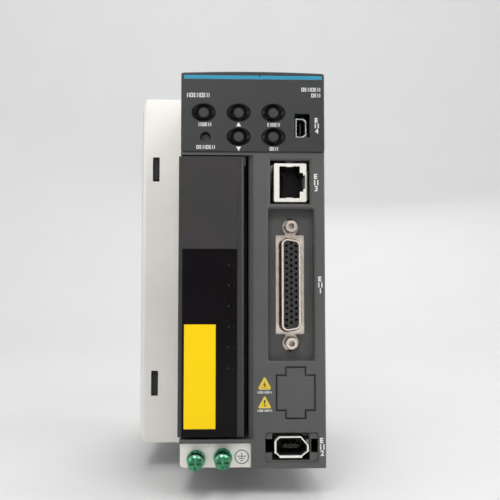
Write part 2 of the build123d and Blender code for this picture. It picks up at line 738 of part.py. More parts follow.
def hinge_pins():
    top = rod_z(HINGE_X, HINGE_Y, PIN_R, (COVER_H[1] - 4.0, BAY_HIGH + 1.6))
    bottom = rod_z(HINGE_X, HINGE_Y, PIN_R, (BAY_LOW - 1.2, COVER_H[0] + 4.0))
    return group([top, bottom])


def cover_sheet():
    return block(SHEET_X, (FRONT, FRONT + SHEET_T), SHEET_H)


def cover_label():
    return block(LABEL_X, (FRONT - STICKER_T, FRONT), LABEL_H)


def terminal_ways(name):
    """Heights of the wire entries of one terminal block."""
    low, high = TERMINAL_SPANS[name]
    count = TERMINAL_WAYS[name]
    pitch = (high - low - 2.0) / count
    return [low + 1.0 + (index + 0.5) * pitch for index in range(count)]


def terminal_block(name):
    low, high = TERMINAL_SPANS[name]
    front = TERMINAL_Y[0] - 1
    body = block(TERMINAL_X, TERMINAL_Y, (low + 0.2, high - 0.2))
    body -= block((TERMINAL_X[0] - 1, TERMINAL_X[0] + 1.2), (front, -131.0), (low, high))
    for h in terminal_ways(name):
        body -= block((ENTRY_MID - 2.7, ENTRY_MID + 2.7), (front, ENTRY_FLOOR), (h - 2.5, h + 2.5))
        body -= rod_y(DRIVER_MID, h, 2.2, (front, ENTRY_FLOOR))
    return body


def terminal_clamps():
    """Clamp screws in the driver holes, and cages at the back of the wire entries."""
    pieces = []
    for name in TERMINAL_SPANS:
        for h in terminal_ways(name):
            screw = rod_y(DRIVER_MID, h, 1.9, (-133.0, ENTRY_FLOOR))
            slot = block((DRIVER_MID - 2.2, DRIVER_MID + 2.2), (-134, -132.2), (h - 0.4, h + 0.4))
            cage = block((ENTRY_MID - 2.5, ENTRY_MID + 2.5), (-129.0, ENTRY_FLOOR), (h - 2.3, h + 2.3))
            mouth = block((ENTRY_MID - 1.7, ENTRY_MID + 1.7), (-130, -127.0), (h - 1.6, h + 1.6))
            pieces.append(screw - slot)
            pieces.append(cage - mouth)
    return group(pieces)


# ---------------------------------------------------------------- ground terminals
def ground_plate():
    rear = GROUND_FRONT + GROUND_T
    flap = at(-14.775, 4.975) * Rectangle(28.25, 9.65)
    low_left = flap.vertices().group_by(Axis.Y)[0].sort_by(Axis.X)[0]
    flap = fillet(low_left, 1.5)
    plate = prism_y(flap, (GROUND_FRONT, rear))
    plate += block((-26.5, -3.0), (GROUND_FRONT, -112.0), (7.8, 9.8))
    plate += block((-26.5, -24.5), (-114.0, -102.0), (7.8, 22.0))
    for x, h in GROUND_PLACES:
        plate -= rod_y(x, h, GROUND_SHANK_R, (GROUND_FRONT - 1, rear + 1))
    return plate


def ground_screws():
    """Domed screws with a slot and a cross, only partly driven, so each stands proud of its washers."""
    screws = []
    for (x, h), front in zip(GROUND_PLACES, GROUND_HEADS):
        dome = Pos(x, front + DOME_R, level(h)) * Sphere(DOME_R)
        screw = rod_y(x, h, GROUND_HEAD_R, (front, front + 2.8)) & dome
        screw += rod_y(x, h, GROUND_SHANK_R, (front + 2.8, -143.0))
        screw -= cross_cut(x, h, 0.95, 4.4, (front - 1, front + 2.2))
        screws.append(screw - block((x - 4, x + 4), (front - 1, front + 1.3), (h - 0.45, h + 0.45)))
    return group(screws)


def ground_washers():
    """A spring washer in front of a plain washer on each screw."""
    rings = []
    for (x, h), front in zip(GROUND_PLACES, GROUND_WASHERS):
        bore = rod_y(x, h, GROUND_SHANK_R, (front - 2, front + 2))
        spring = rod_y(x, h, 3.2, (front - 1.3, front)) - bore
        spring -= block((x + 1.5, x + 4), (front - 2, front + 1), (h - 0.25, h + 0.25))
        rings.append(spring)
        rings.append(rod_y(x, h, 3.7, (front, front + 0.8)) - bore)
    return group(rings)


def earth_disc():
    return rod_y(-4.4, 4.3, 2.85, (GROUND_FRONT - STICKER_T, GROUND_FRONT))


# ---------------------------------------------------------------- electronics
def control_board():
    board = block(CONTROL_X, CONTROL_Y, (4.0, 148.0))
    for y, h in STANDOFF_PLACES:
        board -= rod_x(y, h, 1.6, (20, 28))
    return board


def control_board_chips():
    """Processor, gate array, memories and their taller neighbours on the inner side."""
    x = CONTROL_X[0]
    places = ((-110, 84, 7, 1.4), (-88, 60, 6, 1.4), (-84, 96, 4, 1.1), (-70, 76, 4, 1.1), (-60, 40, 5, 3.0))
    chips = [block((x - t, x), (y - s, y + s), (h - s, h + s)) for y, h, s, t in places]
    return group(chips)


def board_standoffs():
    posts = []
    for y, h in STANDOFF_PLACES:
        posts.append(rod_x(y, h, 2.6, (CONTROL_X[1], RIGHT - WALL)))
        posts.append(rod_x(y, h, 1.6, CONTROL_X))
        posts.append(rod_x(y, h, 2.6, (CONTROL_X[0] - 1.2, CONTROL_X[0])))
    return group(posts)


def power_board():
    return block(POWER_X, (-112.0, -12.0), (24.0, 138.0))


def power_module():
    return block((-25.2, POWER_X[0]), (-84.0, -44.0), (64.0, 112.0))


def rectifier_bridge():
    return block((-25.2, POWER_X[0]), (-40.0, -18.0), (72.0, 104.0))


def bus_capacitors():
    cans = []
    for y, h in ((-28.0, 48.0), (-28.0, 76.0), (-58.0, 62.0)):
        can = rod_x(y, h, 12.5, (POWER_X[1], 19.0))
        can = fillet(can.edges().sort_by(Axis.X)[-1], 1.2)
        can -= rod_x(y, h, 1.0, (18.4, 20)) + block((18.6, 20), (y - 9, y + 9), (h - 0.4, h + 0.4))
        cans.append(can)
    return group(cans)


def charge_relay():
    return block((POWER_X[1], 4.0), (-102.0, -84.0), (100.0, 128.0))


def filter_choke():
    ring = rod_x(-94.0, 62.0, 13.0, (POWER_X[1], POWER_X[1] + 14.0))
    ring = fillet(ring.edges(), 3.0)
    return ring - rod_x(-94.0, 62.0, 6.0, (POWER_X[1] - 1, POWER_X[1] + 15.0))


def braking_resistor():
    """Aluminium-clad resistor bolted flat to the heat sink."""
    body = block((-25.2, -20.2), (-96.0, -88.0), (40.0, 130.0))
    for h in (46.0, 124.0):
        body -= rod_x(-92.0, h, 1.6, (-26, -19))
    return body


# ---------------------------------------------------------------- cooling fan
def fan_corners():
    """Places of the four fan screws."""
    x, y = FAN_MID
    shift = FAN_SCREW_PITCH / 2
    return [(x + dx * shift, y + dy * shift) for dx in (-1, 1) for dy in (-1, 1)]


def fan_frame():
    """Square frame with a motor seat on three arms."""
    x, y = FAN_MID
    frame = prism_z(Pos(x, y) * RectangleRounded(FAN_SIZE, FAN_SIZE, 3.0), (FAN_BOTTOM, FAN_TOP))
    frame -= rod_z(x, y, 18.8, (FAN_BOTTOM - 1, FAN_TOP + 1))
    hub = Pos(x, y, level(FAN_BOTTOM + 1.0))
    for index in range(3):
        frame += hub * Rot(0, 0, 120 * index + 30) * Pos(14.0, 0, 0) * Box(11.0, 2.4, 2.0)
    frame += rod_z(x, y, 9.5, (FAN_BOTTOM, FAN_BOTTOM + 2.0))
    frame -= rod_z(x, y, FAN_SHAFT_R + 0.06, (FAN_BOTTOM + 0.8, FAN_TOP))
    for px, py in fan_corners():
        frame -= rod_z(px, py, 1.7, (FAN_BOTTOM - 1, FAN_TOP + 1))
    return frame


def fan_rotor():
    x, y = FAN_MID
    hub = rod_z(x, y, 9.6, (FAN_BOTTOM + 2.6, FAN_BOTTOM + 13.6))
    hub = fillet(hub.edges().sort_by(Axis.Z)[-1], 0.8)
    hub += rod_z(x, y, FAN_SHAFT_R, (FAN_BOTTOM + 1.0, FAN_BOTTOM + 3.0))
    slab = Pos(13.6, 0, 0) * Rot(42, 0, 0) * Box(9.2, 12.0, 1.1)
    blade = slab & (Cylinder(18.1, 9.6) - Cylinder(9.0, 12.0))
    rotor = hub
    for index in range(FAN_BLADES):
        rotor += Pos(x, y, level(FAN_BOTTOM + 8.1)) * Rot(0, 0, index * 360 / FAN_BLADES) * blade
    return rotor


def fan_screws():
    screws = []
    for px, py in fan_corners():
        shank = rod_z(px, py, 1.7, (FAN_BOTTOM, FAN_TOP))
        screws.append(shank + rod_z(px, py, 2.8, (FAN_BOTTOM - 1.6, FAN_BOTTOM)))
    return group(screws)


def rating_plate():
    face = Plane.YZ.offset(RIGHT) * (Pos(-68.0, level(82.0)) * RectangleRounded(50.0, 26.0, 1.5))
    return extrude(face, amount=0.2)


# ---------------------------------------------------------------- write the parts
PARTS = {
    "mount_plate": mount_plate,
    "heat_sink": heat_sink,
    "heat_sink_shroud": heat_sink_shroud,
    "shroud_hooks": shroud_hooks,
    "shroud_screws": shroud_screws,
    "case_screws": case_screws,
    "rear_housing": rear_housing,
    "front_housing": front_housing,
    "control_panel": control_panel,
    "trim_stripe": trim_stripe,
    "button_dishes": button_dishes,
    "charge_lamp": charge_lamp,
    "panel_board": panel_board,
    "tact_switches": tact_switches,
    "display_module": display_module,
    "usb_shell": usb_shell,
    "usb_insert": usb_insert,
    "rj45_shell": rj45_shell,
    "rj45_insert": rj45_insert,
    "rj45_contacts": rj45_contacts,
    "signal_socket_shell": signal_socket_shell,
    "signal_socket_insulator": signal_socket_insulator,
    "signal_socket_contacts": signal_socket_contacts,
    "jack_posts": jack_posts,
    "encoder_shell": encoder_shell,
    "encoder_insert": encoder_insert,
    "encoder_contacts": encoder_contacts,
    "blanking_plug": blanking_plug,
    "warning_triangles": warning_triangles,
    "power_cover": power_cover,
    "hinge_pins": hinge_pins,
    "cover_sheet": cover_sheet,
    "cover_label": cover_label,
    "terminal_clamps": terminal_clamps,
    "ground_plate": ground_plate,
    "ground_screws": ground_screws,
    "ground_washers": ground_washers,
    "earth_disc": earth_disc,
    "control_board": control_board,
    "control_board_chips": control_board_chips,
    "board_standoffs": board_standoffs,
    "power_board": power_board,
    "power_module": power_module,
    "rectifier_bridge": rectifier_bridge,
    "bus_capacitors": bus_capacitors,
    "charge_relay": charge_relay,
    "filter_choke": filter_choke,
    "braking_resistor": braking_resistor,
    "fan_frame": fan_frame,
    "fan_rotor": fan_rotor,
    "fan_screws": fan_screws,
    "rating_plate": rating_plate,
}

os.makedirs("parts", exist_ok=True)
for name, make in PARTS.items():
    export_step(make(), f"parts/{name}.step")
for name, place in BUTTON_PLACES.items():
    export_step(button_cap(*place), f"parts/{name}.step")
for name in TERMINAL_SPANS:
    export_step(terminal_block(name), f"parts/{name}_terminal.step")
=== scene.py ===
import math

import bmesh
import bpy
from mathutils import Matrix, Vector
from mathutils.geometry import convex_hull_2d


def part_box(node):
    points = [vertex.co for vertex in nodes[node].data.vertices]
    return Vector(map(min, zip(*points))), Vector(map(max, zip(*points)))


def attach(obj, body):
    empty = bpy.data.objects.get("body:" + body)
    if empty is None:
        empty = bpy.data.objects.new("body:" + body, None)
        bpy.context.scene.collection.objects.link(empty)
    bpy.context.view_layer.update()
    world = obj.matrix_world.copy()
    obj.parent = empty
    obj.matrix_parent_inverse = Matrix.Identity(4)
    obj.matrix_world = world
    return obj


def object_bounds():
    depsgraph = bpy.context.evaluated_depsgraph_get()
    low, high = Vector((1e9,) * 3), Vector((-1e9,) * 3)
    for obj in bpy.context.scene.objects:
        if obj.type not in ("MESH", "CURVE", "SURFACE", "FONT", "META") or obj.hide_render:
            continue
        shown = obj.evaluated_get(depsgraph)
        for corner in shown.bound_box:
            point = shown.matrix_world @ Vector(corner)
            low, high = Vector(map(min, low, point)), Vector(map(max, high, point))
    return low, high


# Looks of a wall-mounted servo drive: a finish for every CAD piece, the printed marks, and the studio.
# Everything is in metres in the drive's own frame: X right, Y to the rear, Z up, the front faces -Y.

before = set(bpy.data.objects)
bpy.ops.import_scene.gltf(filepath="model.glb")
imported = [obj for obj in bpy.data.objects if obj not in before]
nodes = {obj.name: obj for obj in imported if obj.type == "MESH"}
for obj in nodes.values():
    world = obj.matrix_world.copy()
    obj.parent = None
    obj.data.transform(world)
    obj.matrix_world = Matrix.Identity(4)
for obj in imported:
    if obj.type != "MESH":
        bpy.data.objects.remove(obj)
CAD_BOX = [list(corner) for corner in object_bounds()]
MM = 0.001
INK = 0.03 * MM                    # thickness of printed marks
NUMERAL_GAIN = 1.42                # font size for a numeral of unit height
NUMERAL_BOLD = 0.09 * MM           # how much a numeral's strokes are thickened
SOCKET_FLANGE = 1.0 * MM           # sheet thickness of the signal socket's flange
DRAWN_RADIUS = 0.85 * MM           # radius where its shell rises from that flange
DRAWN_BITE = 0.05 * MM             # how far the radius piece sinks into the shell and the flange
SENSOR = 36.0                      # camera sensor's width and focal length, in its own millimetres
FOCAL_LENGTH = 50.4
CAMERA_X, CAMERA_Z = -0.0100, -0.00985
CAMERA_DISTANCE = 0.2804           # from the camera to the front of the housing
CAMERA_FORWARD = (0.0314, 0.9977, 0.0599)
# name, place, diameter, watts, target, colour
LIGHTS = (
    ("key", (0.55, -0.80, 0.78), 0.6, 2.9, (0.0, 0.0, 0.0), (1.0, 1.0, 1.0)),
    ("side", (1.15, -0.26, 0.30), 0.55, 5.0, (0.0, 0.0, 0.0), (1.0, 1.0, 1.0)),
    ("fill", (-0.95, -0.70, 0.40), 0.7, 1.5, (0.0, 0.0, 0.0), (1.0, 1.0, 1.0)),
    ("front", (-0.12, -0.58, 0.46), 0.30, 1.6, (0.0, 0.0, 0.0), (1.0, 0.985, 0.96)),
    ("top", (0.0, -0.15, 1.25), 0.7, 2.6, (0.0, 0.0, 0.0), (1.0, 1.0, 1.0)),
    ("rear", (0.3, 1.1, 0.7), 0.9, 2.2, (0.0, 0.0, 0.0), (1.0, 1.0, 1.0)),
    ("wall", (0.0, 0.45, 1.5), 0.9, 9.0, (0.0, 1.65, 0.1), (1.0, 1.0, 1.0)),
)
AMBIENT_COLOUR = (0.95, 0.97, 1.0, 1.0)
AMBIENT_STRENGTH = 0.12


# ------------------------------------------------------------------ shader helpers
class Shader:
    """A material's node tree with short calls for the nodes that the finishes share."""

    def __init__(self, name, colour, roughness, metallic=0.0, **sockets):
        self.material = bpy.data.materials.new(name)
        self.material.use_nodes = True
        self.tree = self.material.node_tree
        self.bsdf = self.tree.nodes["Principled BSDF"]
        self.set("Base Color", (*colour, 1.0))
        self.set("Roughness", roughness)
        self.set("Metallic", metallic)
        for socket, value in sockets.items():
            self.set(socket.replace("_", " "), value)
        self.coords = self.add("ShaderNodeTexCoord").outputs["Object"]
        self.normal = None

    def add(self, kind, **settings):
        node = self.tree.nodes.new(kind)
        for key, value in settings.items():
            setattr(node, key, value)
        return node

    def set(self, socket, value):
        self.bsdf.inputs[socket].default_value = value

    def link(self, source, target):
        self.tree.links.new(source, target)

    def stretched(self, scale):
        mapping = self.add("ShaderNodeMapping")
        mapping.inputs["Scale"].default_value = scale
        self.link(self.coords, mapping.inputs["Vector"])
        return mapping.outputs["Vector"]

    def noise(self, scale, detail=3.0, stretch=None, roughness=0.55):
        node = self.add("ShaderNodeTexNoise")
        node.inputs["Scale"].default_value = scale
        node.inputs["Detail"].default_value = detail
        node.inputs["Roughness"].default_value = roughness
        self.link(self.stretched(stretch) if stretch else self.coords, node.inputs["Vector"])
        return node.outputs["Fac"]

    def ramp(self, factor, low, high, colour_low=(0, 0, 0), colour_high=(1, 1, 1)):
        node = self.add("ShaderNodeValToRGB")
        node.color_ramp.elements[0].position = low
        node.color_ramp.elements[0].color = (*colour_low, 1.0)
        node.color_ramp.elements[1].position = high
        node.color_ramp.elements[1].color = (*colour_high, 1.0)
        self.link(factor, node.inputs["Fac"])
        return node.outputs["Color"]

    def mix(self, factor, first, second):
        """Colour mix; first and second are a colour or an output."""
        node = self.add("ShaderNodeMix", data_type="RGBA")
        self.link(factor, node.inputs["Factor"])
        inputs = [socket for socket in node.inputs if socket.type == "RGBA"]
        for value, socket in zip((first, second), inputs):
            if isinstance(value, tuple):
                socket.default_value = (*value, 1.0)
            else:
                self.link(value, socket)
        return next(socket for socket in node.outputs if socket.type == "RGBA")

    def spread(self, factor, low, high):
        """Maps a 0 to 1 factor to a range of values."""
        node = self.add("ShaderNodeMapRange")
        node.inputs["To Min"].default_value = low
        node.inputs["To Max"].default_value = high
        self.link(factor, node.inputs["Value"])
        return node.outputs["Result"]

    def colour(self, output):
        self.link(output, self.bsdf.inputs["Base Color"])

    def roughness(self, factor, low, high):
        self.link(self.spread(factor, low, high), self.bsdf.inputs["Roughness"])

    def bump(self, height, distance, strength=1.0):
        node = self.add("ShaderNodeBump")
        node.inputs["Strength"].default_value = strength
        node.inputs["Distance"].default_value = distance
        self.link(height, node.inputs["Height"])
        if self.normal:
            self.link(self.normal, node.inputs["Normal"])
        self.normal = node.outputs["Normal"]
        self.link(self.normal, self.bsdf.inputs["Normal"])

    def round_edges(self, radius):
        """Soft edge highlights, and the mask of how near a surface is to an edge."""
        node = self.add("ShaderNodeBevel", samples=4)
        node.inputs["Radius"].default_value = radius
        self.normal = node.outputs["Normal"]
        self.link(self.normal, self.bsdf.inputs["Normal"])
        geometry = self.add("ShaderNodeNewGeometry")
        dot = self.add("ShaderNodeVectorMath", operation="DOT_PRODUCT")
        self.link(node.outputs["Normal"], dot.inputs[0])
        self.link(geometry.outputs["Normal"], dot.inputs[1])
        return self.ramp(dot.outputs["Value"], 0.80, 0.985, (1, 1, 1), (0, 0, 0))


def tint(colour, gain):
    """The colour made lighter or darker, kept within range."""
    return tuple(min(1.0, c * gain) for c in colour)


# ------------------------------------------------------------------ finishes
def plastic(name, colour, roughness, grain=0.28, depth=0.012, wear=1.6, radius=0.35, drift=None):
    """Spark-textured moulding: fine grain, faint mottling towards drift, paler rubbed edges."""
    s = Shader(name, colour, roughness, Specular_IOR_Level=0.42)
    edge = s.round_edges(radius * MM)
    mottle = s.noise(42.0, 4.0)
    body = s.mix(mottle, tint(colour, 0.86), tint(drift or colour, 1.14))
    rub = s.noise(260.0, 5.0)
    worn = s.add("ShaderNodeMath", operation="MULTIPLY")
    s.link(edge, worn.inputs[0])
    s.link(rub, worn.inputs[1])
    s.colour(s.mix(worn.outputs[0], body, tint(colour, wear)))
    s.roughness(s.noise(120.0, 3.0), roughness - 0.07, roughness + 0.09)
    s.bump(s.noise(1.0 / (grain * MM), 2.0), depth * MM)
    return s.material


def gloss(name, colour, roughness, waviness=0.02, level=0.45):
    """Smooth glossy film or moulding with slight ripple and finger haze."""
    s = Shader(name, colour, roughness, Specular_IOR_Level=level)
    s.round_edges(0.25 * MM)
    haze = s.noise(70.0, 5.0)
    s.colour(s.mix(haze, tint(colour, 0.8), tint(colour, 1.35)))
    s.roughness(haze, roughness * 0.8, roughness * 1.4)
    s.bump(s.noise(55.0, 2.0), waviness * MM)
    return s.material


def brushed(name, colour, roughness, along, streak=0.05, depth=0.004, wear=0.10, metallic=0.8):
    """Metal with grain along one axis, cloudy tone and small scuffs."""
    s = Shader(name, colour, roughness, metallic)
    s.round_edges(0.3 * MM)
    squeeze = tuple(0.02 if axis == along else 1.0 for axis in "xyz")
    grain = s.noise(4200.0, 3.0, squeeze, 0.7)
    bands = s.noise(260.0, 4.0, squeeze, 0.6)
    cloud = s.noise(24.0, 4.0)
    tone = s.mix(bands, tint(colour, 1.0 - streak), tint(colour, 1.0 + streak))
    tone = s.mix(s.ramp(cloud, 0.35, 0.75), tone, tint(colour, 1.0 - wear))
    scuff = s.ramp(s.noise(150.0, 7.0, None, 0.72), 0.62, 0.70)
    s.colour(s.mix(scuff, tone, tint(colour, 0.88)))
    s.roughness(grain, roughness - 0.06, roughness + 0.10)
    s.bump(grain, depth * MM)
    return s.material


def plating(s, roughness):
    """Fine unevenness of a plated surface, and the mask of its darker spots."""
    s.roughness(s.noise(900.0, 3.0), roughness * 0.7, roughness * 1.5)
    s.bump(s.noise(1600.0, 3.0), 0.004 * MM)
    return s.ramp(s.noise(420.0, 5.0), 0.45, 0.75)


def plated(name, colour, roughness, spots=0.75, metallic=1.0):
    """Plated metal: fine unevenness, darker spots in places."""
    s = Shader(name, colour, roughness, metallic)
    s.round_edges(0.15 * MM)
    patch = plating(s, roughness)
    s.colour(s.mix(patch, colour, tint(colour, spots)))
    return s.material


def passivate(name, colour, roughness):
    """Chromated steel: a clear skin over uneven colour."""
    s = Shader(name, colour, roughness, 1.0, Coat_Weight=1.0, Coat_Roughness=0.04)
    s.round_edges(0.2 * MM)
    patch = s.ramp(s.noise(500.0, 5.0), 0.35, 0.75)
    s.colour(s.mix(patch, colour, tint(colour, 0.45)))
    s.roughness(s.noise(900.0, 3.0), roughness * 0.6, roughness * 1.6)
    s.bump(s.noise(1100.0, 3.0), 0.006 * MM)
    return s.material


def drawn_metal(name, colour, painted_wall_shade, roughness, spots=0.8):
    """Plated metal whose walls along Y are painted dark brown as painted shade and painted dark
    reflection, and whose front faces keep the bright plated colour.
    """
    s = Shader(name, colour, roughness, 1.0)
    s.round_edges(0.12 * MM)
    split = s.add("ShaderNodeSeparateXYZ")
    s.link(s.add("ShaderNodeTexCoord").outputs["Normal"], split.inputs["Vector"])
    facing = s.add("ShaderNodeMath", operation="ABSOLUTE")
    s.link(split.outputs["Y"], facing.inputs[0])
    patch = plating(s, roughness)
    face = s.mix(patch, colour, tint(colour, spots))
    wall = s.mix(patch, painted_wall_shade, tint(painted_wall_shade, 0.6))
    # Painted shade: walls along Y take the dark colour for shade and dark reflection; faces along Y keep
    # the plated colour.
    s.colour(s.mix(s.ramp(facing.outputs[0], 0.25, 0.55), wall, face))
    return s.material


def paper(name, colour, roughness=0.42):
    """Printed label stock: faint fibre, a few creases, soft sheen."""
    s = Shader(name, colour, roughness, Specular_IOR_Level=0.2)
    fibre = s.noise(900.0, 6.0)
    wash = s.noise(30.0, 3.0)
    s.colour(s.mix(wash, tint(colour, 0.95), tint(colour, 1.04)))
    s.roughness(fibre, roughness - 0.05, roughness + 0.08)
    s.bump(fibre, 0.006 * MM)
    s.bump(s.noise(45.0, 2.0), 0.02 * MM)
    return s.material


def ink(name, colour):
    """Screen-printed ink with slightly uneven cover."""
    s = Shader(name, colour, 0.45, Specular_IOR_Level=0.3)
    cover = s.noise(1500.0, 4.0)
    s.colour(s.mix(cover, tint(colour, 0.85), tint(colour, 1.05)))
    s.roughness(cover, 0.38, 0.55)
    s.bump(cover, 0.003 * MM)
    return s.material


def circuit_board():
    """Green solder mask with paler tracks and pads in a rectangular weave."""
    s = Shader("solder_mask", (0.02, 0.13, 0.055), 0.3, Coat_Weight=0.3, Coat_Roughness=0.12)
    tracks = s.add("ShaderNodeTexBrick", offset=0.37)
    tracks.inputs["Scale"].default_value = 190.0
    tracks.inputs["Mortar Size"].default_value = 0.035
    tracks.inputs["Color1"].default_value = (0.012, 0.10, 0.04, 1)
    tracks.inputs["Color2"].default_value = (0.016, 0.13, 0.05, 1)
    tracks.inputs["Mortar"].default_value = (0.05, 0.27, 0.11, 1)
    swap = s.add("ShaderNodeMapping")
    swap.inputs["Rotation"].default_value = (0.0, math.pi / 2, 0.0)
    s.link(s.coords, swap.inputs["Vector"])
    s.link(swap.outputs["Vector"], tracks.inputs["Vector"])
    pads = s.add("ShaderNodeTexVoronoi")
    pads.inputs["Scale"].default_value = 260.0
    s.link(s.coords, pads.inputs["Vector"])
    solder = s.ramp(pads.outputs["Distance"], 0.13, 0.16, (1, 1, 1), (0, 0, 0))
    s.colour(s.mix(solder, tracks.outputs["Color"], (0.62, 0.60, 0.55)))
    s.bump(tracks.outputs["Fac"], 0.02 * MM)
    return s.material


def capacitor_sleeve():
    """Shrink sleeve, dark with a slight orange-peel."""
    s = Shader("capacitor_sleeve", (0.012, 0.02, 0.045), 0.25, Specular_IOR_Level=0.5)
    peel = s.noise(700.0, 3.0)
    s.colour(s.mix(s.noise(60.0, 3.0), (0.010, 0.017, 0.04), (0.018, 0.028, 0.06)))
    s.roughness(peel, 0.18, 0.34)
    s.bump(peel, 0.01 * MM)
    return s.material


def smoked_lens():
    """Grey translucent moulding of the charge lamp."""
    s = Shader("smoked_lens", (0.12, 0.11, 0.10), 0.16, Transmission_Weight=0.25, IOR=1.46)
    swirl = s.noise(800.0, 2.0)
    s.colour(s.mix(swirl, (0.09, 0.08, 0.075), (0.20, 0.18, 0.165)))
    s.bump(swirl, 0.01 * MM)
    return s.material


def floor_paper():
    """Matt near-white paper of the backdrop."""
    s = Shader("floor_paper", (0.78, 0.78, 0.78), 0.8, Specular_IOR_Level=0.15)
    s.colour(s.mix(s.noise(9.0, 3.0), (0.77, 0.77, 0.775), (0.80, 0.80, 0.80)))
    s.bump(s.noise(900.0, 4.0), 0.01 * MM)
    return s.material


HOUSING = plastic("housing_plastic", (0.084, 0.084, 0.083), 0.50)
PANEL = plastic("panel_plastic", (0.032, 0.033, 0.034), 0.48, grain=0.22, depth=0.009)
COVER = plastic("cover_plastic", (0.029, 0.031, 0.029), 0.40, grain=0.22, depth=0.007,
                drift=(0.033, 0.027, 0.028))
BLACK = plastic("black_plastic", (0.012, 0.012, 0.013), 0.42, depth=0.006, wear=1.3, radius=0.15)
SOCKET_GREY = plastic("insulator_plastic", (0.024, 0.024, 0.024), 0.5, depth=0.004, wear=1.2, radius=0.1)
TERMINAL = plastic("terminal_plastic", (0.022, 0.023, 0.025), 0.42, depth=0.006)
KEY_GREY = plastic("key_plastic", (0.032, 0.033, 0.034), 0.5, depth=0.006, wear=1.4, radius=0.2)
GLOSS_BLACK = gloss("gloss_black", (0.0034, 0.0024, 0.0034), 0.10, level=0.12)
DISH_BLACK = gloss("dish_black", (0.0015, 0.0015, 0.0016), 0.16, 0.01, level=0.22)
TRIM_BLUE = gloss("trim_blue", (0.022, 0.25, 0.40), 0.36)
RELAY = gloss("relay_case", (0.62, 0.62, 0.58), 0.3)
SHEET = brushed("aluminium_sheet", (0.88, 0.865, 0.815), 0.42, "z", metallic=0.6)
SINK = brushed("extruded_aluminium", (0.76, 0.76, 0.75), 0.36, "z", streak=0.09)
TIN = plated("tinned_steel", (0.97, 0.94, 0.87), 0.34, 0.94, 0.5)
BRIGHT = plated("bright_steel", (0.90, 0.87, 0.82), 0.26, 0.9)
# The second colour of each drawn metal is painted shade and painted dark reflection for its walls along
# Y.
POST = drawn_metal("nickel_post", (0.92, 0.81, 0.71), (0.11, 0.06, 0.04), 0.28)
NICKEL = drawn_metal("nickel_flange", (1.0, 0.9, 0.79), (0.10, 0.065, 0.045), 0.36)
# Drawn radius: the fillet is real, and its dark brown colour, far darker than the nickel flange, is a
# painted dark reflection.
DRAWN = plated("drawn_radius", (0.30, 0.23, 0.18), 0.24, 0.7)
ZINC = plated("zinc_plate", (0.72, 0.73, 0.72), 0.30)
GREEN = passivate("green_passivate", (0.065, 0.352, 0.174), 0.16)
# Contact gold darkened to a dark bronze: gold plating plus painted shade deep in the socket holes.
SHADED_GOLD = plated("gold_flash_shaded", (0.26, 0.19, 0.09), 0.32, 0.8)
BRASS = plated("brass", (0.74, 0.56, 0.26), 0.3)
YELLOW = paper("yellow_label", (0.98, 0.66, 0.001))
SIGN_YELLOW = paper("yellow_sign", (0.70, 0.52, 0.03))
LABEL_GREY = paper("grey_label", (0.50, 0.51, 0.51))
WHITE_INK = ink("white_ink", (0.80, 0.80, 0.79))
PALE_INK = ink("pale_ink", (0.74, 0.68, 0.36))
DARK_INK = ink("dark_ink", (0.02, 0.02, 0.02))
GREY_INK = ink("grey_ink", (0.13, 0.13, 0.14))
DOT_INK = ink("dot_ink", (0.035, 0.034, 0.036))
SPECK_INK = ink("speck_ink", (0.016, 0.015, 0.017))
BOARD = circuit_board()
SLEEVE = capacitor_sleeve()
LENS = smoked_lens()
CORE = plastic("choke_core", (0.05, 0.13, 0.09), 0.4)

FINISHES = {
    HOUSING: ("rear_housing", "front_housing", "blanking_plug"),
    PANEL: ("control_panel",),
    COVER: ("power_cover",),
    BLACK: ("shroud_hooks", "tact_switches", "usb_insert", "rj45_insert", "encoder_insert", "hinge_pins",
            "control_board_chips", "power_module", "rectifier_bridge", "fan_frame", "fan_rotor"),
    SOCKET_GREY: ("signal_socket_insulator",),
    TERMINAL: ("supply_terminal", "brake_terminal", "motor_terminal"),
    KEY_GREY: ("button_mode", "button_up", "button_shift", "button_down", "button_set"),
    GLOSS_BLACK: ("cover_sheet", "display_module"),
    DISH_BLACK: ("button_dishes",),
    TRIM_BLUE: ("trim_stripe",),
    RELAY: ("charge_relay",),
    SHEET: ("mount_plate", "heat_sink_shroud", "ground_plate", "earth_disc"),
    SINK: ("heat_sink", "braking_resistor"),
    TIN: ("rj45_shell", "encoder_shell"),
    BRIGHT: ("usb_shell", "terminal_clamps"),
    POST: ("jack_posts",),
    NICKEL: ("signal_socket_shell",),
    ZINC: ("shroud_screws", "case_screws", "fan_screws"),
    GREEN: ("ground_screws", "ground_washers"),
    SHADED_GOLD: ("rj45_contacts", "signal_socket_contacts", "encoder_contacts"),
    BRASS: ("board_standoffs",),
    YELLOW: ("cover_label",),
    SIGN_YELLOW: ("warning_triangles",),
    LABEL_GREY: ("rating_plate",),
    BOARD: ("panel_board", "control_board", "power_board"),
    SLEEVE: ("bus_capacitors",),
    LENS: ("charge_lamp",),
    CORE: ("filter_choke",),
}


def finish_nodes():
    """Gives every CAD piece its finish."""
    for material, names in FINISHES.items():
        for name in names:
            mesh = nodes[name].data
            mesh.materials.clear()
            mesh.materials.append(material)
    finished = {name for names in FINISHES.values() for name in names}
    assert finished == set(nodes), finished ^ set(nodes)


# ------------------------------------------------------------------ printed marks on the front
def add_piece(name, mesh, material, body):
    """Links a finished mesh as a piece that rides on a body."""
    piece = bpy.data.objects.new(name, mesh)
    bpy.context.scene.collection.objects.link(piece)
    mesh.materials.clear()
    mesh.materials.append(material)
    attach(piece, body)
    return piece


